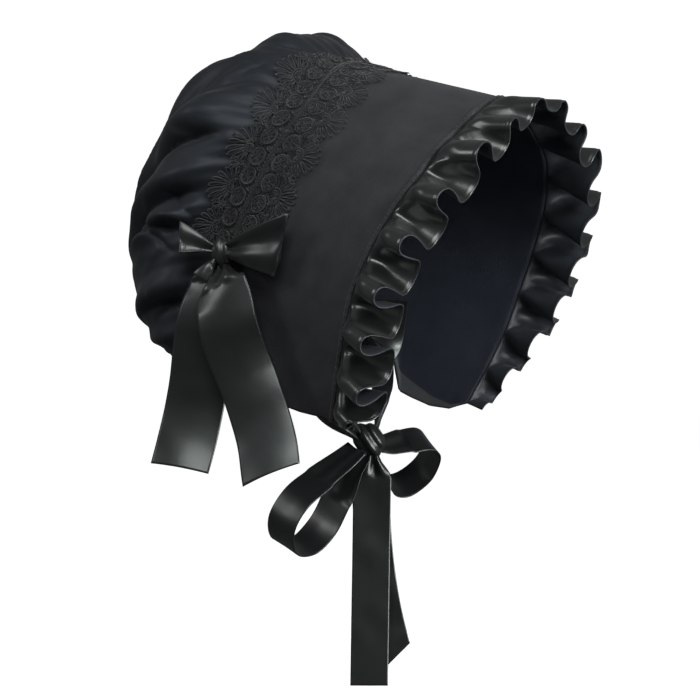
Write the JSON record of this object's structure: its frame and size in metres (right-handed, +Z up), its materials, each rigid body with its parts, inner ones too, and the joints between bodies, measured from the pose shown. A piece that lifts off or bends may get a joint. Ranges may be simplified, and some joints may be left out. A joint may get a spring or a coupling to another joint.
{
  "type": "bonnet with ribbon ties",
  "caption": "Black costume bonnet with a stiff brim, gathered satin crown, pleated frill, lace band, side bow and chin ties tied in a bow.",
  "frame": {"origin": "the top of the head as it meets the bonnet: the inside of the brim's top centre, at the crown seam", "axes": "+Z up as worn, the face opening looks along -Y, and +X is the wearer's left"},
  "size_m": [0.283, 0.2927, 0.4425],
  "materials": {
    "brim_cloth": "matte black plain-woven cloth over a stiff base",
    "crown_satin": "black satin with a soft sheen, gathered",
    "frill_satin": "black satin, pleated",
    "lace": "matte black guipure lace",
    "ribbon_satin": "black satin ribbon with a bright sheen"
  },
  "bodies": {
    "root": {"brim": "brim_cloth", "brim_piping": "brim_cloth", "crown": "crown_satin", "frill": "frill_satin", "lace_band": "lace", "bow_knot": "ribbon_satin", "bow_loop_front": "ribbon_satin", "bow_loop_back": "ribbon_satin", "bow_tail_front": "ribbon_satin", "bow_tail_back": "ribbon_satin", "tie_right": "ribbon_satin", "tie_left": "ribbon_satin", "tie_knot": "ribbon_satin", "tie_loop_right": "ribbon_satin", "tie_loop_left": "ribbon_satin", "tie_tail_front": "ribbon_satin", "tie_tail_back": "ribbon_satin"}
  },
  "joints": []
}
